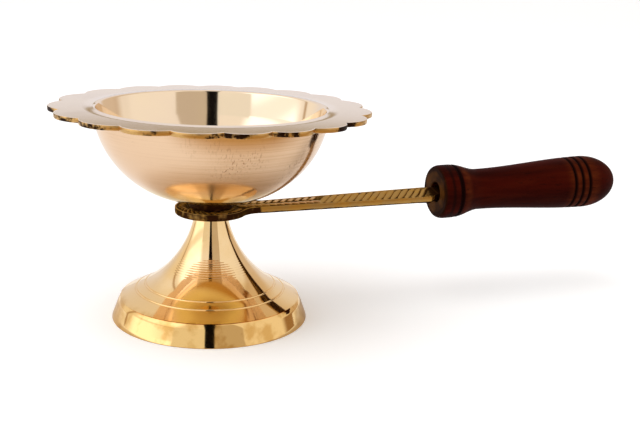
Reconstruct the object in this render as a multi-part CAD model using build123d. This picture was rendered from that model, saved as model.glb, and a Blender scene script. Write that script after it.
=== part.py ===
"""Aarti lamp: a brass bowl on a turned foot, with a wooden-handled arm clamped between them.

Millimetres. The origin is on the floor under the foot's centre, +Z is up and the arm runs along +X.
"""
import os
from math import asin, cos, degrees, hypot, radians, sin, tan

from build123d import *

# Foot: a hollow turned pedestal
FOOT_RADIUS = 41.0
FOOT_HEIGHT = 44.2
FOOT_WALL = 2.2
SHOULDER_RADIUS = 37.7
SHOULDER_HEIGHT = 8.9
SHOULDER_ROUND = 2.1
NECK_RADIUS = 6.8
NECK_DRAFT = 9.8
TRUMPET_RADIUS = 29.5
TRUMPET_HEIGHT = 13.1
CEILING_HEIGHT = 26.0
INCISED_ABOVE = 2.7
INCISED_BELOW = 1.7
INCISED_WIDTH = 1.0

# Arm: a cast eye under the bowl, a bar that rises and twists a little, and a tang in the handle
EYE_RADIUS = 15.0
EYE_THICKNESS = 3.0
EYE_FILLET = 9.0
LOWER_EDGE_ROUND = 1.0
BAR_START = 24.0
BAR_LENGTH = 75.5
BAR_WIDTH = 11.0
BAR_THICKNESS = 3.0
BAR_RISE = 1.15
BAR_TWIST = 10.4
TAPER_LENGTH = 4.0
TANG_WIDTH = 8.2
TANG_TIP_WIDTH = 6.0
TANG_THICKNESS = 3.0
TANG_LENGTH = 48.0
TANG_LIFT = 1.2

# Bowl: a flat-bottomed round bowl with a scalloped brim
BOSS_RADIUS = 9.0
BOSS_HEIGHT = 3.2
BOWL_DEPTH = 38.6
BOWL_FLAT_RADIUS = 7.5
BOWL_SIDE_RADIUS = 40.5
BOWL_WALL = 1.7
FLARE_DEPTH = 10.0
FLARE_SLOPE = 12.0
LIP_ROUND = 0.7
RIM_RADIUS = 65.0
RIM_THICKNESS = 1.9
SCALLOP_COUNT = 19
SCALLOP_DEPTH = 3.8

# The brim is cut by hand: its notches wander from an even spacing by these angles
NOTCH_SHIFT = -9.9
NOTCH_WANDER_ONCE = -3.1
NOTCH_WANDER_TWICE = 3.1

# Clamp: a stud in the bowl's boss, drawn down by a nut and washer under the foot's ceiling
STUD_RADIUS = 3.0
STUD_DEPTH_IN_BOSS = 3.6
STUD_PAST_NUT = 2.0
STUD_CHAMFER = 0.5
WASHER_RADIUS = 6.4
WASHER_THICKNESS = 1.6
NUT_ACROSS_FLATS = 10.0
NUT_HEIGHT = 5.0
NUT_CHAMFER = 0.6

# Handle: turned wood, drilled for the tang
HANDLE_LENGTH = 93.3
HANDLE_RISE = 1.3
FACE_RADIUS = 10.8
BEAD_RADIUS = 12.0
BEAD_ROUND = 2.9
BEAD_LENGTH = 7.2
GROOVE_WIDTH = 1.6
GROOVE_DEPTH = 0.7
WAIST_RADIUS = 9.2
WAIST_AT = 20.3
SWELL_RADIUS = 12.05
TAIL_LENGTH = 17.6
TAIL_GROOVES_FROM_TIP = (26.6, 22.8, 19.0)
BORE_DEPTH = 50.0

# Clearances
THREAD_CLEARANCE = 0.05
SWIVEL_CLEARANCE = 0.08
TANG_CLEARANCE = 0.1

# Heights of the stack, from the floor up
EYE_BOTTOM = FOOT_HEIGHT
BOWL_SEAT = EYE_BOTTOM + EYE_THICKNESS
BOWL_BOTTOM = BOWL_SEAT + BOSS_HEIGHT
RIM_TOP = BOWL_BOTTOM + BOWL_DEPTH
WASHER_BOTTOM = CEILING_HEIGHT - WASHER_THICKNESS
NUT_BOTTOM = WASHER_BOTTOM - NUT_HEIGHT

# Where the handle is thickest, from its face
SWELL_AT = HANDLE_LENGTH - TAIL_LENGTH

THREADED_HOLE = STUD_RADIUS + THREAD_CLEARANCE
CLEAR_HOLE = STUD_RADIUS + SWIVEL_CLEARANCE
ON_FLOOR = (Align.CENTER, Align.CENTER, Align.MIN)


def turned(section):
    """Revolve a section drawn as radius and height about the lamp's axis."""
    return revolve(Plane.XZ * section, Axis.Z)


def pillar(radius, bottom, top):
    """A round bar on the lamp's axis."""
    return Pos(0, 0, bottom) * Cylinder(radius, top - bottom, align=ON_FLOOR)


def notch_angle(number):
    """Direction of one notch of the brim, in degrees."""
    even = 360 * number / SCALLOP_COUNT
    once = NOTCH_WANDER_ONCE * sin(radians(even))
    twice = NOTCH_WANDER_TWICE * sin(radians(2 * even))
    return even + NOTCH_SHIFT + once + twice


def polar(radius, angle):
    return (radius * cos(radians(angle)), radius * sin(radians(angle)))


def scalloped_plan():
    """Outline of the brim from above: one bulging arc from each notch to the next."""
    arcs = []
    for number in range(SCALLOP_COUNT):
        start = notch_angle(number)
        end = notch_angle(number + 1)
        crown = polar(RIM_RADIUS, (start + end) / 2)
        arcs.append(
            ThreePointArc(
                polar(RIM_RADIUS - SCALLOP_DEPTH, start),
                crown,
                polar(RIM_RADIUS - SCALLOP_DEPTH, end),
            )
        )
    return make_face(arcs)


def make_bowl():
    side_centre = (BOWL_FLAT_RADIUS, BOWL_BOTTOM + BOWL_SIDE_RADIUS)

    def side(radius, top):
        climb = degrees(asin((top - side_centre[1]) / radius))
        return CenterArc(side_centre, radius, -90, 90 + climb)

    rim_under = RIM_TOP - RIM_THICKNESS
    outside = side(BOWL_SIDE_RADIUS, rim_under)
    inside = side(BOWL_SIDE_RADIUS - BOWL_WALL, RIM_TOP - FLARE_DEPTH)
    lip_radius = (inside @ 1).X + FLARE_DEPTH * tan(radians(FLARE_SLOPE))
    flare = Line(inside @ 1, (lip_radius, RIM_TOP))
    brim = Polyline(outside @ 1, (RIM_RADIUS, rim_under), (RIM_RADIUS, RIM_TOP), flare @ 1)
    bottom = Polyline(inside @ 0, (0, BOWL_BOTTOM + BOWL_WALL), (0, BOWL_BOTTOM), outside @ 0)
    section = make_face([outside, *brim.edges(), flare, inside, *bottom.edges()])
    lip = section.vertices().sort_by_distance(Vertex(*(flare @ 1)))[0]
    section = fillet(lip, LIP_ROUND)

    trim = Pos(0, 0, BOWL_BOTTOM) * extrude(scalloped_plan(), BOWL_DEPTH)
    boss = pillar(BOSS_RADIUS, BOWL_SEAT, BOWL_BOTTOM + BOWL_WALL / 2)
    stud_hole = pillar(THREADED_HOLE, BOWL_SEAT, BOWL_SEAT + STUD_DEPTH_IN_BOSS)
    return (turned(section) & trim) + boss - stud_hole


def make_foot():
    neck = (NECK_RADIUS, FOOT_HEIGHT)
    shoulder = (SHOULDER_RADIUS, SHOULDER_HEIGHT)
    down_neck = (sin(radians(NECK_DRAFT)), -cos(radians(NECK_DRAFT)))
    trumpet = TangentArc(neck, (TRUMPET_RADIUS, TRUMPET_HEIGHT), tangent=down_neck)
    step = TangentArc(trumpet @ 1, shoulder, tangent=trumpet % 1)

    def section(base_radius, base):
        skirt = Polyline(shoulder, (base_radius, base), (0, base), (0, FOOT_HEIGHT), neck)
        return make_face([trumpet, step, *skirt.edges()])

    # The inside keeps the wall's thickness, so its section is drawn past the floor and then inset
    flare = (FOOT_RADIUS - SHOULDER_RADIUS) / SHOULDER_HEIGHT
    below = -2 * FOOT_WALL
    longer = section(FOOT_RADIUS - flare * below, below)
    inset = offset(longer + mirror(longer, about=Plane.YZ), -FOOT_WALL, kind=Kind.INTERSECTION)
    room = Pos(0, CEILING_HEIGHT) * Rectangle(
        2 * FOOT_RADIUS, 2 * CEILING_HEIGHT, align=(Align.MIN, Align.MAX)
    )
    hollow = turned(inset & room)

    body = turned(section(FOOT_RADIUS, 0))
    rings = body.edges().filter_by(GeomType.CIRCLE)
    crease = rings.sort_by(lambda ring: abs(ring.center().Z - SHOULDER_HEIGHT))[0]
    body = fillet(crease, SHOULDER_ROUND) - hollow
    upper_line = trumpet.position_at(trumpet.length - INCISED_ABOVE, PositionMode.LENGTH)
    lower_line = step.position_at(INCISED_BELOW, PositionMode.LENGTH)
    for place in (upper_line, lower_line):
        body -= turned(Pos(place.X, place.Y) * Circle(INCISED_WIDTH / 2))
    return body - pillar(CLEAR_HOLE, 0, FOOT_HEIGHT)


def handle_frame():
    """The handle's own frame: its origin is the middle of the drilled face, x runs to the tail."""
    bar_end = BAR_START + BAR_LENGTH
    rise = BAR_LENGTH * tan(radians(BAR_RISE))
    height = EYE_BOTTOM + EYE_THICKNESS / 2 + rise + TANG_LIFT
    along = (cos(radians(HANDLE_RISE)), 0, sin(radians(HANDLE_RISE)))
    upward = (-sin(radians(HANDLE_RISE)), 0, cos(radians(HANDLE_RISE)))
    return Plane(origin=(bar_end + TAPER_LENGTH, 0, height), x_dir=along, z_dir=upward)


def across_handle(distance, lift=0.0):
    """A plane square to the handle, at a distance from its face and lifted from its axis."""
    frame = handle_frame()
    origin = frame.origin + frame.x_dir * distance + frame.z_dir * lift
    return Plane(origin=origin, x_dir=(0, 1, 0), z_dir=frame.x_dir)


def bar_section(width, thickness):
    """Section of the bar, with its two lower corners rounded."""
    blank = Rectangle(width, thickness)
    return fillet(blank.vertices().group_by(Axis.Y)[0], LOWER_EDGE_ROUND)


def make_arm():
    eye_plan = Circle(EYE_RADIUS) + Rectangle(BAR_START, BAR_WIDTH, align=(Align.MIN, Align.CENTER))
    roots = eye_plan.vertices().group_by(Axis.X)[-2]
    eye = Pos(0, 0, EYE_BOTTOM) * extrude(fillet(roots, EYE_FILLET), EYE_THICKNESS)
    lower_edges = eye.edges().group_by(Axis.Z)[0].sort_by(Axis.X)[:-1]
    eye = fillet(lower_edges, LOWER_EDGE_ROUND)

    bar_root = Plane(
        origin=(BAR_START, 0, EYE_BOTTOM + EYE_THICKNESS / 2), x_dir=(0, 1, 0), z_dir=(1, 0, 0)
    )
    root = bar_root * bar_section(BAR_WIDTH, EYE_THICKNESS)
    twist = Rot(0, 0, BAR_TWIST)
    tip = across_handle(-TAPER_LENGTH, -TANG_LIFT) * twist * bar_section(BAR_WIDTH, BAR_THICKNESS)
    bar = loft([root, tip], ruled=True)

    tang_root = across_handle(0) * twist * bar_section(TANG_WIDTH, TANG_THICKNESS)
    tang_tip = across_handle(TANG_LENGTH) * twist * bar_section(TANG_TIP_WIDTH, TANG_THICKNESS)
    taper = loft([tip, tang_root], ruled=True)
    tang = loft([tang_root, tang_tip], ruled=True)
    return eye + bar + taper + tang - pillar(CLEAR_HOLE, EYE_BOTTOM, BOWL_SEAT)


def tail_radius(distance):
    """Radius of the handle's rounded tail, an ellipse from the swell to the tip."""
    share = max(0.0, distance - SWELL_AT) / TAIL_LENGTH
    return SWELL_RADIUS * (1 - share**2) ** 0.5


def groove(distance, radius):
    """A turned V groove round the handle."""
    corners = Polyline(
        (distance - GROOVE_WIDTH, radius + GROOVE_DEPTH),
        (distance, radius - GROOVE_DEPTH),
        (distance + GROOVE_WIDTH, radius + GROOVE_DEPTH),
        close=True,
    )
    return revolve(make_face(corners.edges()), Axis.X)


def make_handle():
    bead = EllipticalCenterArc(
        (BEAD_ROUND, FACE_RADIUS), BEAD_ROUND, BEAD_RADIUS - FACE_RADIUS, start_angle=90, arc_size=90
    )
    collar = Line((BEAD_ROUND, BEAD_RADIUS), (BEAD_LENGTH, BEAD_RADIUS))
    neck = Spline(collar @ 1, (WAIST_AT, WAIST_RADIUS), tangents=((1, 0), (1, 0)))
    swell = Spline(neck @ 1, (SWELL_AT, SWELL_RADIUS), tangents=((1, 0), (1, 0)))
    tail = EllipticalCenterArc(
        (SWELL_AT, 0), TAIL_LENGTH, SWELL_RADIUS, start_angle=0, arc_size=90
    )
    axis = Polyline((HANDLE_LENGTH, 0), (0, 0), (0, FACE_RADIUS))
    blank = revolve(make_face([bead, collar, neck, swell, tail, *axis.edges()]), Axis.X)

    blank -= groove(BEAD_LENGTH + GROOVE_WIDTH / 2, BEAD_RADIUS)
    for distance in TAIL_GROOVES_FROM_TIP:
        blank -= groove(HANDLE_LENGTH - distance, tail_radius(HANDLE_LENGTH - distance))

    bore_radius = hypot(TANG_WIDTH, TANG_THICKNESS) / 2 + TANG_CLEARANCE
    bore = Rot(0, 90, 0) * Cylinder(bore_radius, BORE_DEPTH, align=ON_FLOOR)
    return handle_frame() * (blank - bore)


def make_stud():
    bottom = NUT_BOTTOM - STUD_PAST_NUT
    rod = pillar(STUD_RADIUS, bottom, BOWL_SEAT + STUD_DEPTH_IN_BOSS)
    return chamfer(rod.edges().filter_by(GeomType.CIRCLE), STUD_CHAMFER)


def make_washer():
    disc = pillar(WASHER_RADIUS, WASHER_BOTTOM, CEILING_HEIGHT)
    return disc - pillar(CLEAR_HOLE, WASHER_BOTTOM, CEILING_HEIGHT)


def make_nut():
    hexagon = RegularPolygon(NUT_ACROSS_FLATS / 2, 6, major_radius=False)
    prism = Pos(0, 0, NUT_BOTTOM) * extrude(hexagon, NUT_HEIGHT)
    corner_radius = NUT_ACROSS_FLATS / 2 / cos(radians(30))
    round_blank = pillar(corner_radius, NUT_BOTTOM, WASHER_BOTTOM)
    round_blank = chamfer(round_blank.edges().filter_by(GeomType.CIRCLE), NUT_CHAMFER)
    return (prism & round_blank) - pillar(THREADED_HOLE, NUT_BOTTOM, WASHER_BOTTOM)


pieces = {
    "foot": make_foot(),
    "arm": make_arm(),
    "handle": make_handle(),
    "bowl": make_bowl(),
    "clamp_stud": make_stud(),
    "clamp_washer": make_washer(),
    "clamp_nut": make_nut(),
}

os.makedirs("parts", exist_ok=True)
for name, solid in pieces.items():
    export_step(solid, f"parts/{name}.step")
    print(name, round(solid.volume), "mm3")
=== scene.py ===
import random
from math import atan2, copysign, cos, hypot, pi, radians, sin, sqrt, tan

import bmesh
import bpy
from mathutils import Matrix, Vector


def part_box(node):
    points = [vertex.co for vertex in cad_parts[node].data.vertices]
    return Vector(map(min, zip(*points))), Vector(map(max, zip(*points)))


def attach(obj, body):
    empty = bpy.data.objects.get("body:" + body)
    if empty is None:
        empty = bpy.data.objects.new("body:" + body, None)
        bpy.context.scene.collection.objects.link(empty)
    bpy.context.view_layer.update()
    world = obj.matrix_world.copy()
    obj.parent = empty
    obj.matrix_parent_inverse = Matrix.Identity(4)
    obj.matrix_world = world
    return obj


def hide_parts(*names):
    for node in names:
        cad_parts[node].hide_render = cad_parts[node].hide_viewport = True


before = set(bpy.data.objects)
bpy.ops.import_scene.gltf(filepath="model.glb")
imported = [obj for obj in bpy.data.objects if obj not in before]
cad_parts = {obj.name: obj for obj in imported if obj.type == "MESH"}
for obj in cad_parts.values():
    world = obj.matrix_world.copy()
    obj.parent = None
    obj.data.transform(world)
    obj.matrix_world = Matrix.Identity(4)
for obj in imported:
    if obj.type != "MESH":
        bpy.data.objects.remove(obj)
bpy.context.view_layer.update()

# Photo table
# A white table stands in a tent of white cloth. The lamp's polish mirrors the cloth's panels and
# seams and the dark slit that the camera looks through. The table carries a painted shade, dim and
# warm at its front and under the bowl, which only mirrored rays see.
MM = 0.001


class Wire:
    """One output of a shader tree. Sums on wires add Math nodes, and add() adds any other node."""

    def __init__(self, tree, socket=None):
        self.tree = tree
        self.socket = socket

    def add(self, kind, settings, sockets, output=0):
        """A new node with these settings, then these values or links, as a wire from one output."""
        node = self.tree.nodes.new(kind)
        for name, value in settings.items():
            setattr(node, name, value)
        for name, value in sockets.items():
            if isinstance(value, Wire):
                self.tree.links.new(value.socket, node.inputs[name])
            else:
                node.inputs[name].default_value = value
        return Wire(self.tree, node.outputs[output])

    def math(self, operation, first, second):
        return self.add("ShaderNodeMath", {"operation": operation}, {0: first, 1: second})

    def __add__(self, other):
        return self.math("ADD", self, other)

    def __sub__(self, other):
        return self.math("SUBTRACT", self, other)

    def __rsub__(self, other):
        return self.math("SUBTRACT", other, self)

    def __mul__(self, other):
        return self.math("MULTIPLY", self, other)

    __radd__ = __add__
    __rmul__ = __mul__

    def above(self, low, high):
        """0 below low, 1 above high, and a smooth step between them."""
        return self.add(
            "ShaderNodeMapRange",
            {"interpolation_type": "SMOOTHSTEP"},
            {"Value": self, "From Min": low, "From Max": high},
        )

    def between(self, low, high, soft):
        """1 between low and high, with soft ends."""
        return self.above(low - soft, low + soft) * (1 - self.above(high - soft, high + soft))

    def mix(self, first, second):
        """One colour where this wire is 0, the other where it is 1."""
        return self.add("ShaderNodeMix", {"data_type": "RGBA"}, {0: self, 6: first, 7: second}, 2)

    def part(self, letter):
        """The X, Y or Z of a vector."""
        return self.add("ShaderNodeSeparateXYZ", {}, {0: self}, letter)

    def along(self, direction):
        """How far a vector reaches in a direction."""
        dot = {"operation": "DOT_PRODUCT"}
        return self.add("ShaderNodeVectorMath", dot, {0: self, 1: direction}, "Value")

    def length(self):
        """The length of a vector."""
        return self.add("ShaderNodeVectorMath", {"operation": "LENGTH"}, {0: self}, "Value")

    def noise(self, scale, detail, **more):
        """Cloudy noise about 0.5, read at the places of a vector."""
        return self.add("ShaderNodeTexNoise", {}, {"Vector": self, "Scale": scale, "Detail": detail, **more})

    def bump(self, strength, distance):
        """The normal of a surface that has this wire as its height."""
        return self.add("ShaderNodeBump", {}, {"Strength": strength, "Distance": distance, "Height": self})


CAMERA_AZIMUTH = radians(-14.635)
CAMERA_DISTANCE = 418.8 * MM
CAMERA_HEIGHT = 152.1 * MM
CAMERA_TURN = radians(6.213)
CAMERA_PITCH = radians(14.326)
CAMERA_ROLL = radians(2.197)
CAMERA_LENS = 58.11

camera_side = Vector((sin(CAMERA_AZIMUTH), -cos(CAMERA_AZIMUTH), 0))
camera_right = Vector((cos(CAMERA_AZIMUTH), sin(CAMERA_AZIMUTH), 0))
camera_data = bpy.data.cameras.new("camera")
camera_data.lens = CAMERA_LENS
camera = bpy.data.objects.new("camera", camera_data)
camera.matrix_world = (
    Matrix.Translation(camera_side * CAMERA_DISTANCE + Vector((0, 0, CAMERA_HEIGHT)))
    @ Matrix.Rotation(CAMERA_AZIMUTH - CAMERA_TURN, 4, "Z")
    @ Matrix.Rotation(pi / 2 - CAMERA_PITCH, 4, "X")
    @ Matrix.Rotation(CAMERA_ROLL, 4, "Z")
)
bpy.context.collection.objects.link(camera)
bpy.context.scene.camera = camera
bpy.context.scene.view_settings.view_transform = "Standard"

TENT_WHITE = (0.96, 0.9, 0.82, 1)
TENT_BACK = (0.84, 0.81, 0.84, 1)
TENT_BAND = (0.33, 0.23, 0.1, 1)
TENT_LAMP = (1.6, 1.6, 1.62, 1)
TENT_SHADE = (0.9, 0.86, 0.78, 1)
TENT_GREY = (0.6, 0.51, 0.4, 1)
TENT_FOLD = (0.55, 0.4, 0.27, 1)
TENT_RIGHT = (0.7, 0.57, 0.44, 1)
TENT_SIDE = (0.36, 0.22, 0.11, 1)
TENT_SLIT = (0.004, 0.003, 0.003, 1)
SLIT_HALF_WIDTH = 0.095
SLIT_TOP = 0.95
CAMERA_SEES = (0.97, 0.97, 0.965, 1)

world = bpy.data.worlds.new("light_tent")
world.use_nodes = True
bpy.context.scene.world = world
sky = Wire(world.node_tree).add("ShaderNodeTexCoord", {}, {}, "Generated")
across = sky.along(camera_right)
toward = sky.along(camera_side)
height = sky.part("Z")
turn = sky.math("ARCTAN2", across, toward)


def cloth_between(left, right, soft):
    """1 on the cloth between two directions, in degrees to the right of the camera's side."""
    return turn.between(radians(left), radians(right), radians(soft))


back_wall = 1 - cloth_between(-138, 138, 12)
band = (1 - cloth_between(-169, 169, 4)) * height.between(0.165, 0.2, 0.008)
lamp_side = cloth_between(-105, -42, 8) * (1 - height.above(0.75, 0.95))
lamp_side = lamp_side * (1 - 0.7 * height.between(0.24, 0.4, 0.05))
shade_panel = cloth_between(-44, -3, 1) * (1 - height.above(0.45, 0.5))
grey_panel = cloth_between(3, 41, 1) * (1 - height.above(0.8, 0.95))
fold = cloth_between(-119, -115, 1.5)
right_panel = cloth_between(114, 148, 6)
dark_side = cloth_between(99, 122, 5) * (1 - 0.9 * height.above(0.06, 0.16))
slit = across.between(-SLIT_HALF_WIDTH, SLIT_HALF_WIDTH, 0.006) * toward.above(0, 0.01)
slit = slit * (1 - height.above(SLIT_TOP, SLIT_TOP + 0.01))
cloth = back_wall.mix(TENT_WHITE, TENT_BACK)
cloth = band.mix(cloth, TENT_BAND)
cloth = lamp_side.mix(cloth, TENT_LAMP)
cloth = shade_panel.mix(cloth, TENT_SHADE)
cloth = grey_panel.mix(cloth, TENT_GREY)
cloth = fold.mix(cloth, TENT_FOLD)
cloth = right_panel.mix(cloth, TENT_RIGHT)
cloth = dark_side.mix(cloth, TENT_SIDE)
cloth = slit.mix(cloth, TENT_SLIT)
seen = sky.add("ShaderNodeLightPath", {}, {}, "Is Camera Ray")
cloth = seen.mix(cloth, CAMERA_SEES)
world.node_tree.links.new(cloth.socket, world.node_tree.nodes["Background"].inputs["Color"])

TABLE_SIZE = 8.0
TABLE_WHITE = (0.9, 0.93, 0.97, 1)
TABLE_PAINTED_SHADE = (0.54, 0.37, 0.16, 1)
TABLE_GLOW = (1, 1, 1, 1)
NO_GLOW = (0, 0, 0, 1)
FRONT_TURN = radians(25)
FRONT_SHADE_FADES = (60 * MM, 190 * MM)
UNDER_BOWL_SHADE_FADES = (45 * MM, 90 * MM)
UNDER_FOOT_GLOW = (3, 3, 3, 1)
UNDER_FOOT_FADES = (38 * MM, 40 * MM)
CREASE = radians(32)


def finished(bm, name):
    """Close the bmesh's seams, turn its faces outwards and make it a smooth object at the origin."""
    bmesh.ops.remove_doubles(bm, verts=bm.verts, dist=0.5e-6)
    bmesh.ops.recalc_face_normals(bm, faces=bm.faces)
    mesh = bpy.data.meshes.new(name)
    bm.to_mesh(mesh)
    bm.free()
    mesh.shade_smooth()
    mesh.set_sharp_from_angle(angle=CREASE)
    piece = bpy.data.objects.new(name, mesh)
    bpy.context.collection.objects.link(piece)
    return piece


def principled(name, **constants):
    """A new material, its shader with these constants, and a wire of the places on its piece."""
    material = bpy.data.materials.new(name)
    material.use_nodes = True
    shader = material.node_tree.nodes["Principled BSDF"]
    for socket, value in constants.items():
        shader.inputs[socket.replace("_", " ")].default_value = value
    place = Wire(material.node_tree).add("ShaderNodeTexCoord", {}, {}, "Object")
    return material, shader, place


def feed(shader, **wires):
    """Link wires to the shader's sockets, named with _ for a space."""
    for socket, wire in wires.items():
        wire.tree.links.new(wire.socket, shader.inputs[socket.replace("_", " ")])


bm = bmesh.new()
bmesh.ops.create_grid(bm, x_segments=1, y_segments=1, size=TABLE_SIZE / 2)
table = finished(bm, "table")
table_white, shader, place = principled(
    "table_white", Roughness=0.9, Specular_IOR_Level=0.0, Emission_Strength=0.2
)
# Painted shade for mirrored rays only: the table's front and a ring under the bowl turn dim and warm
mirrored = place.add("ShaderNodeLightPath", {}, {}, "Is Glossy Ray")
front = place.along(camera_side * cos(FRONT_TURN) + camera_right * sin(FRONT_TURN))
reach = place.length()
painted_table_shade = mirrored * (front.above(*FRONT_SHADE_FADES) + 0.4 * (1 - reach.above(*UNDER_BOWL_SHADE_FADES)))
feed(
    shader,
    Base_Color=painted_table_shade.mix(TABLE_WHITE, TABLE_PAINTED_SHADE),
    Emission_Color=reach.above(*UNDER_FOOT_FADES).mix(UNDER_FOOT_GLOW, mirrored.mix(TABLE_GLOW, NO_GLOW)),
)
# From below the table is clear, so that the hollow foot can be looked into
below = place.add("ShaderNodeNewGeometry", {}, {}, "Backfacing")
clear = place.add("ShaderNodeBsdfTransparent", {}, {})
solid = Wire(place.tree, shader.outputs[0])
surface = place.add("ShaderNodeMixShader", {}, {0: below, 1: solid, 2: clear})
place.tree.links.new(surface.socket, place.tree.nodes["Material Output"].inputs["Surface"])
table.data.materials.append(table_white)

SOFTBOX_SIZE = 1.2
SOFTBOX_WATTS = 5.5
SOFTBOX_PLACE = (-0.35, -0.1, 1.3)
SOFTBOX_TILT = radians(-15)
softbox_data = bpy.data.lights.new("overhead_softbox", "AREA")
softbox_data.shape = "DISK"
softbox_data.size = SOFTBOX_SIZE
softbox_data.energy = SOFTBOX_WATTS
softbox = bpy.data.objects.new("overhead_softbox", softbox_data)
softbox.location = SOFTBOX_PLACE
softbox.rotation_euler = (0, SOFTBOX_TILT, 0)
softbox.visible_glossy = False
bpy.context.collection.objects.link(softbox)

# Foot
# A cast brass pedestal, turned on a lathe and polished to a mirror. It is hollow underneath,
# its neck is drilled for the clamp stud, and the eye of the arm rests on the neck's end.
foot_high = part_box("foot")[1]
FOOT_RADIUS = foot_high[0]
FOOT_HEIGHT = foot_high[2]
FOOT_WALL = 2.2 * MM
BASE_WALL = 2.33 * MM
BASE_ROUND = 0.35 * MM
SHOULDER = Vector((37.7, 0, 8.9)) * MM
SHOULDER_WALL = Vector((1.45, 0, 1.95)) * MM
SHOULDER_ROUND = 2.1 * MM
NECK_RADIUS = 6.8 * MM
NECK_DRAFT = radians(9.8)
TRUMPET_END = Vector((29.5, 0, 13.1)) * MM
TRUMPET_PLAIN = 10.0 * MM
CEILING_HEIGHT = 26.0 * MM
BORE_RADIUS = 3.08 * MM
INCISED_ABOVE = 2.7 * MM
INCISED_BELOW = 1.7 * MM
INCISED_WIDTH = 1.0 * MM
INCISED_LIFT = radians(12)
RIPPLE_LOW = 20.5 * MM
RIPPLE_HIGH = 28.0 * MM
RIPPLE_PITCH = 0.8 * MM
RIPPLE_DEPTH = 0.016 * MM
FOOT_STEPS = 160
RING_MATCH = 0.02 * MM


def line_to(bm, corner, place):
    """Run an outline straight from one corner to a place, and give the new corner."""
    grown = bmesh.ops.extrude_vert_indiv(bm, verts=[corner])
    grown["verts"][0].co = place
    return grown["verts"][0]


def arc_centre(start, side, end):
    """Centre of the arc from start to end, which lies from start along the unit vector side."""
    gap = end - start
    return start + side * (gap.length_squared / (2 * gap.dot(side)))


def arc_to(bm, corner, side, end, steps, axis=Vector((0, -1, 0))):
    """Run an outline along an arc whose centre lies to a side of the corner, and give its last corner."""
    centre = arc_centre(corner.co, side, end)
    spoke = corner.co - centre
    last = end - centre
    angle = atan2(axis.dot(spoke.cross(last)), spoke.dot(last))
    swept = bmesh.ops.spin(bm, geom=[corner], cent=centre, axis=axis, angle=angle, steps=steps)
    return next(item for item in swept["geom_last"] if isinstance(item, bmesh.types.BMVert))


def turn_outline(bm, axis, steps):
    """Turn the outline once about an axis through the origin."""
    bmesh.ops.spin(
        bm,
        geom=bm.verts[:] + bm.edges[:],
        cent=(0, 0, 0),
        axis=axis,
        angle=2 * pi,
        steps=steps,
        use_merge=True,
    )
    bmesh.ops.remove_doubles(bm, verts=bm.verts, dist=0.5e-6)


def rings_through(bm, places):
    """The turned edges that pass through these places of the outline."""
    rings = []
    for edge in bm.edges:
        ends = [Vector((hypot(vert.co.x, vert.co.y), 0, vert.co.z)) for vert in edge.verts]
        if any(all((end - place).length < RING_MATCH for end in ends) for place in places):
            rings.append(edge)
    return rings


def round_edges(bm, edges, width, segments, clamped=False):
    """Round these edges, over a width on each side of them."""
    bmesh.ops.bevel(
        bm,
        geom=edges,
        offset=width,
        affect="EDGES",
        segments=segments,
        profile=0.5,
        material=-1,
        clamp_overlap=clamped,
    )


def along_arc(centre, start, distance):
    """A place on the arc round a centre, a distance further out from the axis than its start."""
    swing = Matrix.Rotation(distance / (start - centre).length, 3, Vector((0, -1, 0)))
    return centre + swing @ (start - centre)


def incised(bm, corner, centre, middle, steps):
    """Run along the arc round a centre to a shallow round groove, and through it to its far edge."""
    near_edge = along_arc(centre, middle, -INCISED_WIDTH / 2)
    far_edge = along_arc(centre, middle, INCISED_WIDTH / 2)
    corner = arc_to(bm, corner, (centre - corner.co).normalized(), near_edge, steps)
    across = (far_edge - near_edge).normalized()
    outward = (centre - middle).normalized()
    groove_side = across * cos(INCISED_LIFT) + outward * sin(INCISED_LIFT)
    return arc_to(bm, corner, groove_side, far_edge, 8)


neck = Vector((NECK_RADIUS, 0, FOOT_HEIGHT))
neck_side = Vector((cos(NECK_DRAFT), 0, sin(NECK_DRAFT)))
trumpet_centre = arc_centre(neck, neck_side, TRUMPET_END)
trumpet_radius = (trumpet_centre - neck).length
rippled_end = along_arc(trumpet_centre, TRUMPET_END, -TRUMPET_PLAIN)
groove_above = along_arc(trumpet_centre, TRUMPET_END, -INCISED_ABOVE)
step_side = (trumpet_centre - TRUMPET_END).normalized()
step_centre = arc_centre(TRUMPET_END, step_side, SHOULDER)
groove_below = along_arc(step_centre, TRUMPET_END, INCISED_BELOW)
base = Vector((FOOT_RADIUS, 0, 0))
inner_base = base - Vector((BASE_WALL, 0, 0))
inner_shoulder = SHOULDER - SHOULDER_WALL
inner_step = TRUMPET_END - step_side * FOOT_WALL
inner_reach = trumpet_radius + FOOT_WALL
ceiling_edge = trumpet_centre.x - sqrt(inner_reach**2 - (trumpet_centre.z - CEILING_HEIGHT) ** 2)
inner_ceiling = Vector((ceiling_edge, 0, CEILING_HEIGHT))

bm = bmesh.new()
first_corner = bm.verts.new((BORE_RADIUS, 0, CEILING_HEIGHT))
corner = line_to(bm, first_corner, (BORE_RADIUS, 0, FOOT_HEIGHT))
corner = line_to(bm, corner, neck)
corner = arc_to(bm, corner, neck_side, rippled_end, 200)
corner = incised(bm, corner, trumpet_centre, groove_above, 40)
corner = arc_to(bm, corner, (trumpet_centre - corner.co).normalized(), TRUMPET_END, 12)
corner = incised(bm, corner, step_centre, groove_below, 8)
corner = arc_to(bm, corner, (step_centre - corner.co).normalized(), SHOULDER, 24)
for share in (0.25, 0.5, 0.75, 1.0):
    corner = line_to(bm, corner, SHOULDER.lerp(base, share))
corner = line_to(bm, corner, inner_base)
corner = line_to(bm, corner, inner_shoulder)
corner = arc_to(bm, corner, (step_centre - corner.co).normalized(), inner_step, 24)
corner = arc_to(bm, corner, step_side, inner_ceiling, 40)
bm.edges.new((corner, first_corner))
bmesh.ops.remove_doubles(bm, verts=bm.verts, dist=1e-6)

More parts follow.
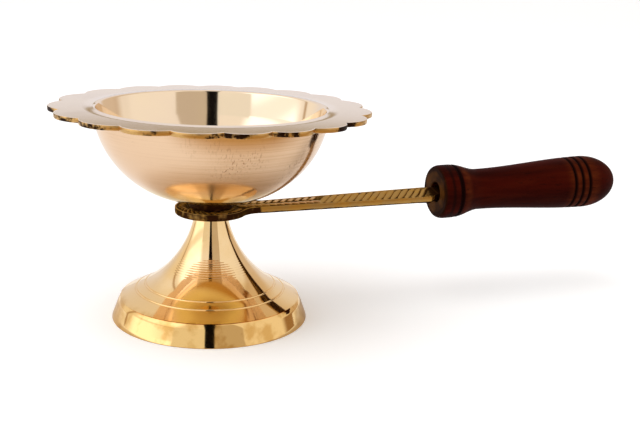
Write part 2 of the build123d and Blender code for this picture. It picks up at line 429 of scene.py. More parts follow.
# The lathe's tool left a band of ripples on the trumpet
for vert in bm.verts:
    share = (vert.co.z - RIPPLE_LOW) / (RIPPLE_HIGH - RIPPLE_LOW)
    spoke = vert.co - trumpet_centre
    if 0 < share < 1 and spoke.length < trumpet_radius + FOOT_WALL / 2:
        swell = sin(pi * share) * cos(2 * pi * (vert.co.z - RIPPLE_LOW) / RIPPLE_PITCH)
        vert.co += spoke.normalized() * RIPPLE_DEPTH * swell
turn_outline(bm, (0, 0, 1), FOOT_STEPS)
round_edges(bm, rings_through(bm, [SHOULDER]), SHOULDER_ROUND, 12)
round_edges(bm, rings_through(bm, [base, inner_base]), BASE_ROUND, 3)
foot = finished(bm, "foot_turned")

BRASS_FOOT = (0.95, 0.73, 0.45, 1)
BRASS_FOOT_DEEP = (0.87, 0.6, 0.28, 1)
BRASS_DOME = (0.9, 0.63, 0.3, 1)
BRASS_SKIRT = (0.9, 0.61, 0.26, 1)
BRASS_SMUDGE = (0.66, 0.37, 0.1, 1)
DOME_FADES = (13 * MM, 19 * MM)
SKIRT_FADES = (8.5 * MM, 10.5 * MM)


def turning_lines(place, pitch):
    """Fine rings as a lathe leaves them, from 0 to 1, closer together than pitch."""
    x = place.part("X")
    y = place.part("Y")
    from_axis = place.math("POWER", x * x + y * y, 0.5)
    rings = place.add("ShaderNodeCombineXYZ", {}, {"X": from_axis, "Y": place.part("Z")})
    return place.add(
        "ShaderNodeTexNoise",
        {"noise_dimensions": "2D"},
        {"Vector": rings, "Scale": 1 / pitch, "Detail": 3.0},
    )


foot_brass, shader, place = principled("foot_brass", Metallic=1.0)
height = place.part("Z")
lines = turning_lines(place, 0.35 * MM)
clouds = place.noise(55.0, 4.0)
smudges = place.noise(140.0, 5.0)
waves = place.noise(75.0, 1.0)
brass = clouds.above(0.35, 0.7).mix(BRASS_FOOT, BRASS_FOOT_DEEP)
brass = height.above(*DOME_FADES).mix(BRASS_DOME, brass)
skirt = (0.8 * smudges.above(0.45, 0.65)).mix(BRASS_SKIRT, BRASS_SMUDGE)
feed(
    shader,
    Base_Color=height.above(*SKIRT_FADES).mix(skirt, brass),
    Roughness=0.045 + 0.03 * lines + 0.05 * smudges.above(0.5, 0.8),
    Normal=(lines + 14 * waves).bump(0.06, 0.02 * MM),
)
foot.data.materials.append(foot_brass)
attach(foot, "lamp")
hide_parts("foot")

# Clamp
# A steel stud from the bowl passes through the arm's eye and the foot's neck. A washer and a
# hexagon nut on its lower end, up inside the hollow foot, draw the three together.
stud_low, stud_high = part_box("clamp_stud")
STUD_RADIUS = stud_high[0]
THREAD_PITCH = 1.0 * MM
THREAD_DEPTH = 0.55 * MM
THREAD_TOP = 30.0 * MM
STUD_STEPS = 48

bm = bmesh.new()
corner = bm.verts.new((0, 0, stud_low[2]))
corner = line_to(bm, corner, (STUD_RADIUS - THREAD_DEPTH, 0, stud_low[2]))
crest = stud_low[2] + THREAD_PITCH / 2
while crest < THREAD_TOP:
    corner = line_to(bm, corner, (STUD_RADIUS, 0, crest))
    corner = line_to(bm, corner, (STUD_RADIUS - THREAD_DEPTH, 0, crest + THREAD_PITCH / 2))
    crest += THREAD_PITCH
corner = line_to(bm, corner, (STUD_RADIUS, 0, crest))
corner = line_to(bm, corner, (STUD_RADIUS, 0, stud_high[2]))
corner = line_to(bm, corner, (0, 0, stud_high[2]))
turn_outline(bm, (0, 0, 1), STUD_STEPS)
stud = finished(bm, "clamp_stud_threaded")
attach(stud, "lamp")
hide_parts("clamp_stud")

STEEL = (0.56, 0.56, 0.57, 1)
STEEL_STAINED = (0.4, 0.37, 0.33, 1)
clamp_steel, shader, place = principled("clamp_steel", Metallic=1.0)
grain = place.noise(900.0, 4.0)
stains = place.noise(210.0, 5.0)
feed(
    shader,
    Base_Color=stains.above(0.45, 0.75).mix(STEEL, STEEL_STAINED),
    Roughness=0.25 + 0.25 * grain,
    Normal=grain.bump(0.15, 0.03 * MM),
)
stud.data.materials.append(clamp_steel)
for node in ("clamp_washer", "clamp_nut"):
    steel_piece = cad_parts[node]
    steel_piece.data.materials.clear()
    steel_piece.data.materials.append(clamp_steel)

# Arm
# One brass casting: a flat eye under the bowl, a bar with two rows of leaves and then a rope in
# relief, and a flat tang that is driven into the handle. The hollows keep a dark patina.
EYE_RADIUS = 15.0 * MM
EYE_BOTTOM = FOOT_HEIGHT
EYE_THICKNESS = 3.0 * MM
EYE_FILLET = 9.0 * MM
SEAT_RADIUS = 9.3 * MM
SEAT_STEPS = 64
BAR_START = 24.0 * MM
BAR_END = 99.5 * MM
BAR_HALF_WIDTH = 5.5 * MM
BAR_RISE = radians(1.15)
BAR_TWIST = radians(10.4)
BAR_CUTS = 3.0 * MM
TAPER_LENGTH = 4.0 * MM
FACE_AT = BAR_END + TAPER_LENGTH
TANG_HALF_WIDTH = 3.7 * MM
TANG_TIP_HALF_WIDTH = 3.0 * MM
TANG_TIP = FACE_AT + 48.0 * MM
TANG_LIFT = 1.2 * MM
TANG_LIFT_LENGTH = 9.0 * MM
RAIL_WIDTH = 0.5 * MM
PANEL_WALL = 0.12 * MM
PANEL_DEPTH = 0.25 * MM
TOP_ROUND = 0.35 * MM
BOTTOM_ROUND = 1.0 * MM
LEVEL_MATCH = 0.1 * MM
UP = Vector((0, 0, 1))

bm = bmesh.new()
relief = bm.verts.layers.float.new("relief")
fillet_y = BAR_HALF_WIDTH + EYE_FILLET
fillet_x = sqrt((EYE_RADIUS + EYE_FILLET) ** 2 - fillet_y**2)
touch = Vector((fillet_x, -fillet_y, 0)) * (EYE_RADIUS / (EYE_RADIUS + EYE_FILLET))
far_touch = Vector((touch.x, -touch.y, 0))
back = Vector((-EYE_RADIUS, 0, 0))
far_root = Vector((fillet_x, BAR_HALF_WIDTH, 0))
first_corner = bm.verts.new((TANG_TIP, -TANG_TIP_HALF_WIDTH, 0))
corner = line_to(bm, first_corner, (FACE_AT, -TANG_HALF_WIDTH, 0))
corner = line_to(bm, corner, (BAR_END, -BAR_HALF_WIDTH, 0))
corner = line_to(bm, corner, (fillet_x, -BAR_HALF_WIDTH, 0))
corner = arc_to(bm, corner, Vector((0, -1, 0)), touch, 12, UP)
corner = arc_to(bm, corner, -touch.normalized(), back, 40, UP)
corner = arc_to(bm, corner, Vector((1, 0, 0)), far_touch, 40, UP)
corner = arc_to(bm, corner, far_touch.normalized(), far_root, 12, UP)
corner = line_to(bm, corner, (BAR_END, BAR_HALF_WIDTH, 0))
corner = line_to(bm, corner, (FACE_AT, TANG_HALF_WIDTH, 0))
corner = line_to(bm, corner, (TANG_TIP, TANG_TIP_HALF_WIDTH, 0))
bm.edges.new((corner, first_corner))
bmesh.ops.remove_doubles(bm, verts=bm.verts, dist=1e-6)
outline = bm.edges[:]
bmesh.ops.create_circle(bm, segments=SEAT_STEPS, radius=SEAT_RADIUS)
seat = [edge for edge in bm.edges if edge not in outline]
bmesh.ops.create_circle(bm, segments=SEAT_STEPS, radius=BORE_RADIUS)
bore = [edge for edge in bm.edges if edge not in outline and edge not in seat]
bmesh.ops.triangle_fill(bm, edges=outline + seat, use_beauty=True)
bmesh.ops.bridge_loops(bm, edges=seat + bore)
plate = bmesh.ops.extrude_face_region(bm, geom=bm.faces[:])
raised = [item for item in plate["geom"] if isinstance(item, bmesh.types.BMVert)]
bmesh.ops.translate(bm, verts=raised, vec=(0, 0, EYE_THICKNESS))
cut = BAR_START - 2 * BAR_CUTS
while cut < TANG_TIP:
    everything = bm.verts[:] + bm.edges[:] + bm.faces[:]
    bmesh.ops.bisect_plane(bm, geom=everything, plane_co=(cut, 0, 0), plane_no=(1, 0, 0), dist=1e-7)
    cut += BAR_CUTS
bmesh.ops.recalc_face_normals(bm, faces=bm.faces)


def sharp_edges(bm, level):
    """The sharp edges of the plate at a level, outside the seat."""
    found = []
    for edge in bm.edges:
        middle = (edge.verts[0].co + edge.verts[1].co) / 2
        if edge.is_manifold and edge.calc_face_angle() > 0.9 and abs(middle.z - level) < LEVEL_MATCH:
            if middle.xy.length > SEAT_RADIUS - LEVEL_MATCH:
                found.append(edge)
    return found


def in_panel(face):
    """The sunk part of the top: all but the seat round the stud and the tang in the handle."""
    middle = face.calc_center_median()
    return face.normal.z > 0.9 and middle.xy.length > SEAT_RADIUS and middle.x < FACE_AT


round_edges(bm, sharp_edges(bm, 0), BOTTOM_ROUND, 4)
panel = [face for face in bm.faces if in_panel(face)]
inset = {"faces": panel, "use_even_offset": False, "use_boundary": True}
bmesh.ops.inset_region(bm, thickness=RAIL_WIDTH, **inset)
bmesh.ops.inset_region(bm, thickness=PANEL_WALL, depth=-PANEL_DEPTH, **inset)
round_edges(bm, sharp_edges(bm, EYE_THICKNESS), TOP_ROUND, 2, clamped=True)

# Patina lies in the sunk panel and on the side of the eye. The lower edge and the eye's underside are
# darkened with painted shade, and the tang is unpolished and painted dark for the shade in the handle's
# hole.
TANG_PATINA_AND_SHADE = 1.3
UNDER_EYE_SHADE = 0.45
EYE_PATINA = 0.9
LOWER_EDGE_SHADE = 1.0
BAR_SIDE_PATINA = 0.12
LEAF_PATINA = 0.9
PANEL_PATINA = 0.7
LOWER_EDGE = 0.7 * MM
EYE_SIDE_END = 20.0 * MM
LEAF_LAST = 46.0 * MM
rail_inside = BAR_HALF_WIDTH - TOP_ROUND - 0.05 * MM


def patina_and_shade_at(spot):
    """How dark the plate is at a spot, from patina and from painted shade: 0 is bare brass and 1 is dark."""
    sunk = (EYE_THICKNESS - spot.z) / PANEL_DEPTH
    on_eye = spot.x < EYE_SIDE_END
    # Painted shade: the unpolished tang is painted dark for the shade in the handle's hole
    if spot.x > BAR_END + 0.2 * MM:
        return TANG_PATINA_AND_SHADE
    # Painted shade under the eye
    if on_eye and spot.z < LEVEL_MATCH:
        return UNDER_EYE_SHADE
    if on_eye and sunk > 0.6 and spot.xy.length > EYE_RADIUS - 0.3 * MM:
        return EYE_PATINA
    # Painted shade along the lower edge
    if spot.z < LOWER_EDGE:
        return LOWER_EDGE_SHADE
    if sunk > 1.2:
        return BAR_SIDE_PATINA
    if not on_eye and abs(spot.y) > rail_inside:
        return 0.0
    if spot.xy.length < SEAT_RADIUS + RAIL_WIDTH:
        return LEAF_PATINA
    floor_patina = PANEL_PATINA if spot.x > LEAF_LAST else LEAF_PATINA
    return floor_patina * min(1.0, max(0.0, sunk))


for vert in bm.verts:
    vert[relief] = patina_and_shade_at(vert.co)


def add_leaf(bm, spot, slant, size, bend, shine, edge=0.6):
    """One leaf of the relief: a blunt oval boss half sunk in the panel, bent to an S and rubbed on top."""
    leaf = bmesh.ops.create_uvsphere(bm, u_segments=20, v_segments=12, radius=1.0)
    for vert in leaf["verts"]:
        vert[relief] = PANEL_PATINA + (shine - PANEL_PATINA) * max(0.0, vert.co.z) ** edge
        vert.co.x = copysign(abs(vert.co.x) ** 0.8, vert.co.x)
        vert.co.y += bend * sin(pi * vert.co.x)
    matrix = Matrix.Translation(spot) @ Matrix.Rotation(slant, 4, "Z") @ Matrix.Diagonal((*size, 1))
    bmesh.ops.transform(bm, matrix=matrix, verts=leaf["verts"])


panel_floor = EYE_THICKNESS - PANEL_DEPTH
EYE_LEAVES = 34
EYE_LEAF_RADIUS = 12.0 * MM
EYE_LEAF_SIZE = Vector((1.9, 0.75, 0.5)) * MM
EYE_LEAF_SLANT = radians(35)
EYE_LEAF_START = radians(33)
for number in range(EYE_LEAVES):
    angle = 2 * pi * (number + 0.5) / EYE_LEAVES
    if EYE_LEAF_START < angle < 2 * pi - EYE_LEAF_START:
        spot = Vector((cos(angle), sin(angle), 0)) * EYE_LEAF_RADIUS + UP * panel_floor
        add_leaf(bm, spot, angle + EYE_LEAF_SLANT, EYE_LEAF_SIZE, bend=0.35, shine=0.3)

LEAF_FIRST = 12.6 * MM
LEAF_PITCH = 3.3 * MM
LEAF_ROW = 2.4 * MM
LEAF_SIZE = Vector((2.4, 0.9, 0.62)) * MM
LEAF_SLANT = radians(35)
leaf_x = LEAF_FIRST
while leaf_x < LEAF_LAST:
    for side in (-1, 1):
        spot = (leaf_x, side * LEAF_ROW, panel_floor)
        add_leaf(bm, spot, side * LEAF_SLANT, LEAF_SIZE, bend=0.3, shine=-0.8)
    leaf_x += LEAF_PITCH

STRAND_FIRST = 50.0 * MM
STRAND_LAST = 98.0 * MM
STRAND_PITCH = 3.4 * MM
STRAND_SIZE = Vector((6.4, 1.35, 0.55)) * MM
STRAND_SLANT = radians(48)
strand_x = STRAND_FIRST
while strand_x < STRAND_LAST:
    spot = (strand_x, 0, panel_floor)
    add_leaf(bm, spot, STRAND_SLANT, STRAND_SIZE, bend=0.2, shine=0.0, edge=0.35)
    strand_x += STRAND_PITCH


def ease(share):
    """A smooth step from 0 to 1."""
    share = min(1.0, max(0.0, share))
    return share * share * (3 - 2 * share)


# The bar climbs to the handle and twists on the way, and the tang lifts to the middle of its hole
slope = tan(BAR_RISE)
bar_middle = EYE_THICKNESS / 2
for vert in bm.verts:
    past = max(0.0, vert.co.x - BAR_START)
    twist = Matrix.Rotation(BAR_TWIST * min(1.0, past / (BAR_END - BAR_START)), 3, "X")
    twisted = twist @ Vector((0, vert.co.y, vert.co.z - bar_middle))
    lift = past * slope + TANG_LIFT * ease((vert.co.x - BAR_END) / TANG_LIFT_LENGTH)
    vert.co.y = twisted.y
    vert.co.z = EYE_BOTTOM + bar_middle + twisted.z + lift
arm = finished(bm, "arm_cast")

ARM_GOLD = (0.46, 0.26, 0.065, 1)
ARM_OLIVE = (0.42, 0.26, 0.09, 1)
ARM_RUBBED = (0.7, 0.5, 0.3, 1)
ARM_PATINA_AND_SHADE = (0.035, 0.012, 0.005, 1)
ARM_SHEEN = (0.86, 0.67, 0.45, 1)
arm_brass, shader, place = principled("arm_brass", Metallic=1.0, Specular_Tint=ARM_SHEEN)
hollow = place.add("ShaderNodeAttribute", {"attribute_name": "relief"}, {}, "Fac")
blotch = place.noise(420.0, 6.0)
wear = place.noise(110.0, 4.0)
upright = place.add("ShaderNodeMapping", {}, {"Vector": place, "Scale": (1, 1, 0.05)})
streaks = upright.noise(600.0, 3.0)
worn = place.noise(160.0, 3.0)
# The darkening holds patina in the hollows and painted shade along the lower edge, under the eye and on the
# tang
patina_and_shade = hollow + 0.7 * (blotch - 0.5) + 0.9 * (streaks - 0.5) * hollow - 0.4 * worn.above(0.45, 0.65)
patina_and_shade = patina_and_shade.above(0.22, 0.85)
gold = wear.above(0.4, 0.62).mix(ARM_GOLD, ARM_OLIVE)
gold = (1 - hollow.above(-0.4, 0.0)).mix(gold, ARM_RUBBED)
feed(
    shader,
    Base_Color=patina_and_shade.mix(gold, ARM_PATINA_AND_SHADE),
    Roughness=0.26 + 0.15 * blotch + 0.25 * patina_and_shade,
    Normal=blotch.bump(0.35, 0.08 * MM),
)
arm.data.materials.append(arm_brass)
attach(arm, "arm")
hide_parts("arm")

# Handle
# Turned hardwood, stained dark red-brown and varnished, with a bead at the front, grooves and a round
# tail. The grooves and bands at the bead and the collar are darkened with painted shade. The arm's
# tang is driven into the hole in its lighter end grain.
HANDLE_LENGTH = 93.3 * MM
HANDLE_RISE = radians(1.3)
FACE_RADIUS = 10.8 * MM
HANDLE_BORE = 4.45 * MM
HANDLE_BORE_DEPTH = 50.0 * MM
HANDLE_BORE_EDGE = 0.4 * MM
BEAD_RADIUS = 12.0 * MM
BEAD_ROUND = 2.9 * MM
BEAD_LENGTH = 7.2 * MM
WAIST_RADIUS = 9.2 * MM
WAIST_AT = 20.3 * MM
SWELL_RADIUS = 12.05 * MM
TAIL_LENGTH = 17.6 * MM
SWELL_AT = HANDLE_LENGTH - TAIL_LENGTH
GROOVE_WIDTH = 1.6 * MM
GROOVE_DEPTH = 0.7 * MM
GROOVES_AT = [8.0 * MM, HANDLE_LENGTH - 26.6 * MM, HANDLE_LENGTH - 22.8 * MM, HANDLE_LENGTH - 19.0 * MM]
HANDLE_STEPS = 128
OUTLINE_STEPS = 360


def handle_radius(distance):
    """Radius of the turned handle at a distance from its face."""
    if distance < BEAD_ROUND:
        rest = 1 - distance / BEAD_ROUND
        radius = FACE_RADIUS + (BEAD_RADIUS - FACE_RADIUS) * sqrt(max(0.0, 1 - rest**2))
    elif distance < BEAD_LENGTH:
        radius = BEAD_RADIUS
    elif distance < WAIST_AT:
        share = (distance - BEAD_LENGTH) / (WAIST_AT - BEAD_LENGTH)
        radius = BEAD_RADIUS + (WAIST_RADIUS - BEAD_RADIUS) * ease(share)
    elif distance < SWELL_AT:
        share = (distance - WAIST_AT) / (SWELL_AT - WAIST_AT)
        radius = WAIST_RADIUS + (SWELL_RADIUS - WAIST_RADIUS) * ease(share)
    else:
        share = (distance - SWELL_AT) / TAIL_LENGTH
        radius = SWELL_RADIUS * sqrt(max(0.0, 1 - share**2))
    for groove in GROOVES_AT:
        away = abs(distance - groove) / (GROOVE_WIDTH / 2)
        if away < 1:
            radius -= GROOVE_DEPTH * (1 + cos(pi * away)) / 2
    return radius


face_height = EYE_BOTTOM + bar_middle + (BAR_END - BAR_START) * slope + TANG_LIFT
handle_face = Vector((FACE_AT, 0, face_height))
handle_place = Matrix.Translation(handle_face) @ Matrix.Rotation(-HANDLE_RISE, 4, "Y")

bm = bmesh.new()
corner = bm.verts.new((HANDLE_BORE_DEPTH, 0, 0))
corner = line_to(bm, corner, (HANDLE_BORE_DEPTH, 0, HANDLE_BORE))
corner = line_to(bm, corner, (HANDLE_BORE_EDGE, 0, HANDLE_BORE))
corner = line_to(bm, corner, (0, 0, HANDLE_BORE + HANDLE_BORE_EDGE))
corner = line_to(bm, corner, (0, 0, FACE_RADIUS))
for step in range(1, OUTLINE_STEPS):
    # Steps are closer together near both ends, where the outline turns quickly
    distance = HANDLE_LENGTH * (1 - cos(pi * step / OUTLINE_STEPS)) / 2
    corner = line_to(bm, corner, (distance, 0, handle_radius(distance)))
corner = line_to(bm, corner, (HANDLE_LENGTH, 0, 0))
turn_outline(bm, (1, 0, 0), HANDLE_STEPS)
bmesh.ops.transform(bm, matrix=handle_place, verts=bm.verts)
handle = finished(bm, "handle_turned")

WOOD_DARK = (0.014, 0.0003, 0.0003, 1)
WOOD_RED = (0.036, 0.0016, 0.0005, 1)
WOOD_BROWN = (0.1, 0.019, 0.004, 1)
WOOD_PORES_AND_SHADE = (0.007, 0.001, 0.0007, 1)
END_GRAIN = (0.085, 0.032, 0.006, 1)
END_DARK = (0.016, 0.004, 0.001, 1)
WAIST_WEAR_AND_SHEEN = (9.8 * MM, 13.0 * MM)
TAIL_WEAR_AND_SHEEN = (GROOVES_AT[1] - 2.5 * MM, GROOVES_AT[3] + 5 * MM)
BEAD_SHADE = (3.2 * MM, 4.6 * MM)
COLLAR_SHADE = (7.1 * MM, 9.0 * MM)
GROOVE_SHADE_HALF_WIDTH = 0.55 * GROOVE_WIDTH
FACE_FADES = (0.1 * MM, 0.8 * MM)
FACE_RIM_FADES = (8.5 * MM, 10.5 * MM)
handle_wood, shader, place = principled("handle_wood", Specular_IOR_Level=0.015)
lengthwise = place.add(
    "ShaderNodeMapping",
    {"vector_type": "TEXTURE"},
    {"Vector": place, "Location": handle_face, "Rotation": (0, -HANDLE_RISE, 0)},
)
distance = lengthwise.part("X")
stretched = place.add("ShaderNodeMapping", {}, {"Vector": lengthwise, "Scale": (0.1, 1, 1)})
grain = stretched.noise(420.0, 6.0)
figure = stretched.noise(110.0, 3.0)
pores = stretched.noise(1500.0, 2.0)
wood = figure.above(0.35, 0.65).mix(WOOD_DARK, WOOD_RED)
# Lighter brown bands at the waist and the tail: handling wear, and a painted sheen on the flare and the tail
rubbed = distance.between(*WAIST_WEAR_AND_SHEEN, 1.5 * MM) + distance.between(*TAIL_WEAR_AND_SHEEN, 2.5 * MM)
wood = ((0.12 + 0.55 * rubbed) * (0.45 + 0.55 * grain.above(0.42, 0.7))).mix(wood, WOOD_BROWN)
wood = (0.5 * pores.above(0.6, 0.72)).mix(wood, WOOD_PORES_AND_SHADE)
# Painted shade: dark bands at the bead and the collar, and in each groove; the same near-black also darkens
# the pores
painted_groove_shade = 0.75 * distance.between(*BEAD_SHADE, 0.7 * MM) + 0.9 * distance.between(*COLLAR_SHADE, 0.5 * MM)
for groove in GROOVES_AT:
    painted_groove_shade = painted_groove_shade + distance.between(groove - GROOVE_SHADE_HALF_WIDTH, groove + GROOVE_SHADE_HALF_WIDTH, 0.6 * MM)
wood = painted_groove_shade.mix(wood, WOOD_PORES_AND_SHADE)
face_rim = lengthwise.length().above(*FACE_RIM_FADES)
end_grain = (0.1 + 0.9 * figure.above(0.35, 0.65) - 0.7 * face_rim).mix(END_DARK, END_GRAIN)
wood = distance.above(*FACE_FADES).mix(end_grain, wood)
feed(
    shader,
    Base_Color=wood,
    Roughness=0.4 + 0.2 * grain,
    Normal=grain.bump(0.25, 0.05 * MM),
)
handle.data.materials.append(handle_wood)
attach(handle, "arm")
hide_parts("handle")

# Bowl
# A brass bowl, turned and polished. Its flat brim is cut into scallops by hand and filed, so their
# spacing wanders. The boss under its bottom carries the clamp stud and sits on the arm's eye.
bowl_low, bowl_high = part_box("bowl")
BOWL_SEAT = bowl_low[2]
RIM_TOP = bowl_high[2]
BOSS_RADIUS = 9.0 * MM
BOSS_HEIGHT = 3.2 * MM
STUD_HOLE_DEPTH = 3.6 * MM
STUD_HOLE_RADIUS = 3.05 * MM
BOWL_BOTTOM = BOWL_SEAT + BOSS_HEIGHT
BOWL_FLAT_RADIUS = 7.5 * MM
BOWL_SIDE_RADIUS = 40.5 * MM
BOWL_WALL = 1.7 * MM
FLARE_DEPTH = 10.0 * MM
FLARE_SLOPE = radians(12)
LIP_ROUND = 0.7 * MM
LIP_WIDTH = 1.5 * MM
LIP_CLIMB = radians(20)
RIM_RADIUS = 65.0 * MM
RIM_THICKNESS = 1.9 * MM
BRIM_START = 52.0 * MM
SCALLOP_COUNT = 19
SCALLOP_DEPTH = 3.8 * MM
NOTCH_SHIFT = radians(-9.9)
NOTCH_WANDER_ONCE = radians(-3.1)
NOTCH_WANDER_TWICE = radians(3.1)
BOWL_STEPS = SCALLOP_COUNT * 16
FILED_EDGE = 0.25 * MM
FILE_MARKS = (-0.08, 0.04)
EDGE_BORDER = 0.7 * MM


def hand_cut(angle):
    """Where a direction of an even brim lies on the hand-cut one."""
    return angle + NOTCH_SHIFT + NOTCH_WANDER_ONCE * sin(angle) + NOTCH_WANDER_TWICE * sin(2 * angle)


def scallop_reach(angle):
    """Radius of the scalloped edge where the even brim has this direction."""
    pitch = 2 * pi / SCALLOP_COUNT
    number = int(angle / pitch + 1e-6)
    start = hand_cut(number * pitch)
    end = hand_cut((number + 1) * pitch)
    half = (end - start) / 2
    offset = hand_cut(angle) - (start + end) / 2
    notch = RIM_RADIUS - SCALLOP_DEPTH
    centre = (RIM_RADIUS**2 - notch**2) / (2 * (RIM_RADIUS - notch * cos(half)))
    bulge = RIM_RADIUS - centre
    return centre * cos(offset) + sqrt(bulge**2 - (centre * sin(offset)) ** 2)


side_centre = Vector((BOWL_FLAT_RADIUS, 0, BOWL_BOTTOM + BOWL_SIDE_RADIUS))


def on_side(radius, height):
    """A place on the bowl's side, on the arc of this radius at this height."""
    return Vector((side_centre.x + sqrt(max(0.0, radius**2 - (side_centre.z - height) ** 2)), 0, height))


boss_meets = side_centre.z - sqrt(BOWL_SIDE_RADIUS**2 - (BOSS_RADIUS - BOWL_FLAT_RADIUS) ** 2)
rim_under = RIM_TOP - RIM_THICKNESS
inner_radius = BOWL_SIDE_RADIUS - BOWL_WALL
flare = on_side(inner_radius, RIM_TOP - FLARE_DEPTH)
flare_rise = Vector((sin(FLARE_SLOPE), 0, cos(FLARE_SLOPE))) / cos(FLARE_SLOPE)
lip = flare + flare_rise * (FLARE_DEPTH - LIP_ROUND)
lip_side = Vector((-sin(LIP_CLIMB), 0, -cos(LIP_CLIMB)))

bm = bmesh.new()
corner = bm.verts.new((0, 0, BOWL_SEAT + STUD_HOLE_DEPTH))
corner = line_to(bm, corner, (STUD_HOLE_RADIUS, 0, BOWL_SEAT + STUD_HOLE_DEPTH))
corner = line_to(bm, corner, (STUD_HOLE_RADIUS, 0, BOWL_SEAT))
corner = line_to(bm, corner, (BOSS_RADIUS, 0, BOWL_SEAT))
corner = line_to(bm, corner, (BOSS_RADIUS, 0, boss_meets))
side = (side_centre - corner.co).normalized()
corner = arc_to(bm, corner, side, on_side(BOWL_SIDE_RADIUS, rim_under), 90)
corner = line_to(bm, corner, (BRIM_START, 0, rim_under))
corner = line_to(bm, corner, (RIM_RADIUS - EDGE_BORDER, 0, rim_under))
corner = line_to(bm, corner, (RIM_RADIUS, 0, rim_under))
corner = line_to(bm, corner, (RIM_RADIUS, 0, RIM_TOP))
corner = line_to(bm, corner, (RIM_RADIUS - EDGE_BORDER, 0, RIM_TOP))
corner = line_to(bm, corner, (BRIM_START, 0, RIM_TOP))
corner = line_to(bm, corner, (lip.x + LIP_WIDTH, 0, RIM_TOP))
corner = arc_to(bm, corner, lip_side, lip, 10)
corner = line_to(bm, corner, flare)
side = (side_centre - corner.co).normalized()
corner = arc_to(bm, corner, side, side_centre - Vector((0, 0, inner_radius)), 90)
corner = line_to(bm, corner, (0, 0, corner.co.z))
turn_outline(bm, (0, 0, 1), BOWL_STEPS)

filed = random.Random(7)
for vert in bm.verts:
    reach = hypot(vert.co.x, vert.co.y)
    if reach > 1e-6:
        angle = atan2(vert.co.y, vert.co.x) % (2 * pi)
        if reach > RIM_RADIUS - 1e-6:
            reach = scallop_reach(angle) + filed.uniform(*FILE_MARKS) * MM
        elif reach > RIM_RADIUS - 2 * EDGE_BORDER:
            reach = scallop_reach(angle) - EDGE_BORDER
        vert.co.x = reach * cos(hand_cut(angle))
        vert.co.y = reach * sin(hand_cut(angle))
brim_edges = [
    edge
    for edge in bm.edges
    if edge.is_manifold
    and edge.calc_face_angle() > 1.0
    and all(hypot(vert.co.x, vert.co.y) > BRIM_START + 2 * MM for vert in edge.verts)
]
round_edges(bm, brim_edges, FILED_EDGE, 2, clamped=True)

# Four finishes, in the order in which their materials are added below
BRUSHED, FILED, DULL, MIRROR = range(4)
mid_wall = BOWL_SIDE_RADIUS - BOWL_WALL / 2
for face in bm.faces:
    middle = face.calc_center_median()
    reach = hypot(middle.x, middle.y)
    if reach > BRIM_START + 5 * MM and abs(face.normal.z) < 0.9:
        face.material_index = FILED
    elif middle.z < boss_meets - 0.05 * MM:
        face.material_index = DULL
    elif middle.z > rim_under + 0.1 * MM or reach < on_side(mid_wall, middle.z).x:
        face.material_index = MIRROR
    else:
        face.material_index = BRUSHED
bowl = finished(bm, "bowl_turned")

BRASS_OUTSIDE = (0.84, 0.6, 0.4, 1)
BRASS_OUTSIDE_TAN = (0.66, 0.43, 0.25, 1)
# BRASS_BOTTOM is painted shade: the outside turns a deeper gold towards the bottom, for the dim light under
# the bowl
BRASS_BOTTOM = (0.78, 0.58, 0.22, 1)
BRASS_MARK = (0.28, 0.15, 0.07, 1)
BOTTOM_FADES = (BOWL_BOTTOM + 4 * MM, BOWL_BOTTOM + 11 * MM)
SHADED_SIDE = Vector((0.62, -0.78, 0))
SHADED_SIDE_FADES = (-5 * MM, 60 * MM)
SCRATCH_SLANT = radians(35)
bowl_brushed, shader, place = principled("bowl_brushed", Metallic=1.0)
lines = turning_lines(place, 0.5 * MM)
clouds = place.noise(32.0, 6.0)
patches = place.noise(45.0, 3.0)
slanted = place.add(
    "ShaderNodeMapping", {}, {"Vector": place, "Rotation": (0, SCRATCH_SLANT, 0), "Scale": (1, 1, 0.07)}
)
scratches = slanted.noise(1700.0, 2.0)
pits = place.add("ShaderNodeTexVoronoi", {}, {"Vector": place, "Scale": 230.0}, "Distance")
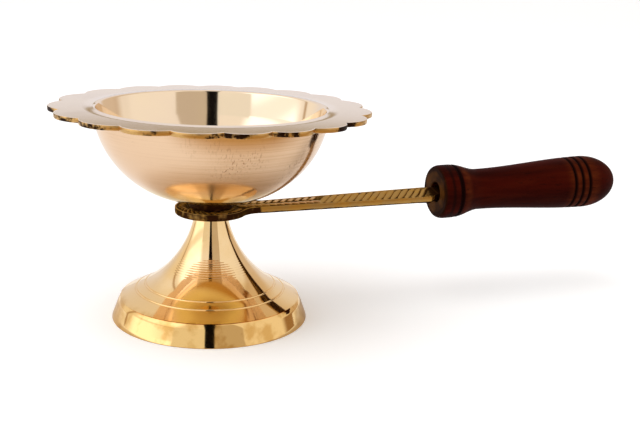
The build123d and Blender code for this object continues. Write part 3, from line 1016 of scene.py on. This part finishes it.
# Painted shade: the outside turns tan towards one side, mixed below with random cloudy tone and the lathe's
# lines
tone_and_painted_shade = place.along(SHADED_SIDE).above(*SHADED_SIDE_FADES)
marks = scratches.above(0.55, 0.66) * patches.above(0.42, 0.58) * tone_and_painted_shade.above(0.2, 0.6)
marks = marks + (1 - pits.above(0.03, 0.1)) * patches.above(0.52, 0.66)
tone_and_painted_shade = tone_and_painted_shade * 0.4 + 0.9 * (clouds - 0.45) + 0.7 * (lines - 0.5)
brass = tone_and_painted_shade.above(0.0, 0.75).mix(BRASS_OUTSIDE, BRASS_OUTSIDE_TAN)
brass = (0.6 * marks).mix(brass, BRASS_MARK)
feed(
    shader,
    Base_Color=place.part("Z").above(*BOTTOM_FADES).mix(BRASS_BOTTOM, brass),
    Roughness=0.08 + 0.08 * lines + 0.1 * clouds.above(0.45, 0.75) + 0.2 * marks,
    Normal=lines.bump(0.12, 0.02 * MM),
)
bowl.data.materials.append(bowl_brushed)

EDGE_GOLD = (0.62, 0.38, 0.14, 1)
EDGE_DARK = (0.025, 0.01, 0.005, 1)
brim_filed, shader, place = principled("brim_filed", Metallic=1.0)
strokes = place.noise(75.0, 7.0, Roughness=0.68)
soot = strokes.above(0.48, 0.56)
feed(
    shader,
    Base_Color=soot.mix(EDGE_GOLD, EDGE_DARK),
    Roughness=0.3 + 0.3 * soot,
    Normal=strokes.bump(0.6, 0.15 * MM),
)
bowl.data.materials.append(brim_filed)

# The boss's dark colour is painted shade, for the gap between the bowl and the arm's eye; its noise is
# tarnish
BOSS_DARK = (0.035, 0.012, 0.005, 1)
BOSS_BROWN = (0.12, 0.05, 0.016, 1)
boss_dull, shader, place = principled("boss_dull", Metallic=1.0)
tarnish = place.noise(500.0, 4.0)
feed(
    shader,
    Base_Color=tarnish.above(0.45, 0.7).mix(BOSS_DARK, BOSS_BROWN),
    Roughness=0.35 + 0.2 * tarnish,
)
bowl.data.materials.append(boss_dull)

BRASS_INSIDE = (0.95, 0.79, 0.6, 1)
BRASS_INSIDE_PINK = (0.92, 0.76, 0.6, 1)
bowl_mirror, shader, place = principled("bowl_mirror", Metallic=1.0)
lines = turning_lines(place, 0.5 * MM)
clouds = place.noise(38.0, 5.0)
feed(
    shader,
    Base_Color=clouds.above(0.35, 0.7).mix(BRASS_INSIDE, BRASS_INSIDE_PINK),
    Roughness=0.05 + 0.05 * lines + 0.06 * clouds.above(0.5, 0.8),
    Normal=lines.bump(0.08, 0.02 * MM),
)
bowl.data.materials.append(bowl_mirror)
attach(bowl, "lamp")
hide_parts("bowl")
